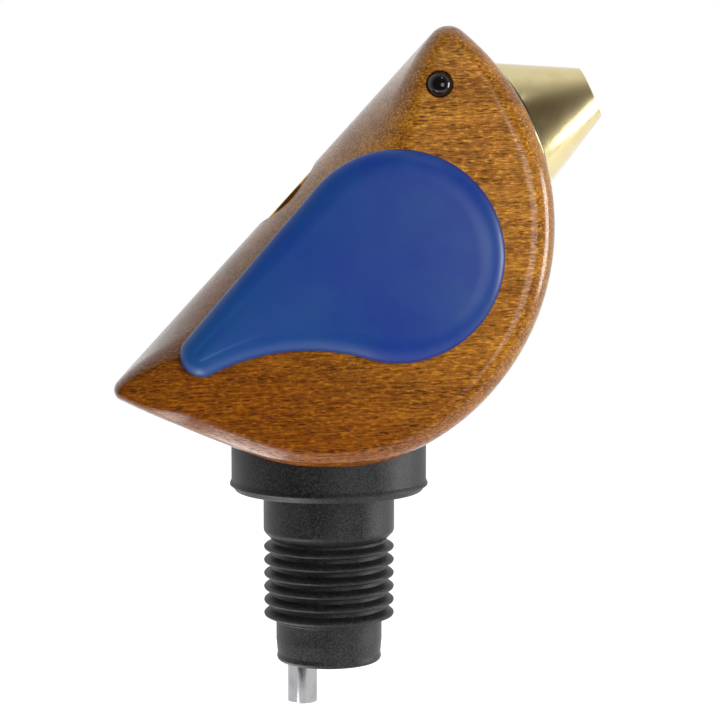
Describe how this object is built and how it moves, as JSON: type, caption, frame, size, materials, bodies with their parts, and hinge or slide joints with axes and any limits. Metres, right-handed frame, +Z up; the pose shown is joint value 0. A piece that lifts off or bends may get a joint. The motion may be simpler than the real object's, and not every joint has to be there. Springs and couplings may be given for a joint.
{
  "type": "bottle pourer",
  "caption": "Bird-shaped wooden bottle pourer with painted wings, a hollow metal beak as its spout, an air tube and a ribbed rubber stopper.",
  "frame": {"origin": "on the stopper's axis, at the underside of its flange, where it meets a bottle's lip", "axes": "+X forward to the beak, +Y to the bird's left side, which is away from the viewer, +Z up along the stopper's axis"},
  "size_m": [0.0754, 0.042, 0.1078],
  "materials": {
    "walnut": "satin lacquered walnut",
    "blue_paint": "satin royal blue paint",
    "bead": "glossy black",
    "brass": "satin",
    "steel": "brushed",
    "whistle_metal": "turned",
    "stopper_rubber": "moulded, satin",
    "seal_rubber": "moulded",
    "core_plastic": "moulded",
    "liner_plastic": "moulded"
  },
  "bodies": {
    "stopper": {"stopper_core": "core_plastic", "stopper_rubber": "stopper_rubber", "air_tube": "steel", "core_o_ring_lower": "seal_rubber", "core_o_ring_upper": "seal_rubber"},
    "bird": {"wooden_body": "walnut", "wing_left": "blue_paint", "wing_right": "blue_paint", "eye_left": "bead", "eye_right": "bead", "socket_liner": "liner_plastic", "spout_liner": "liner_plastic", "beak_bush": "liner_plastic", "air_duct": "liner_plastic", "whistle_cup": "whistle_metal", "whistle_cap": "whistle_metal", "whistle_ring": "seal_rubber"},
    "beak": {"beak_cone": "brass", "beak_seal": "seal_rubber", "beak_o_ring": "seal_rubber"}
  },
  "joints": [
    {"name": "bird_lift", "type": "slide", "parent": "stopper", "child": "bird", "axis": [0, 0, 1], "range_m": [0, 0.03]},
    {"name": "beak_pull", "type": "slide", "parent": "bird", "child": "beak", "axis": [0.9078, 0, 0.4195], "range_m": [0, 0.012]}
  ]
}
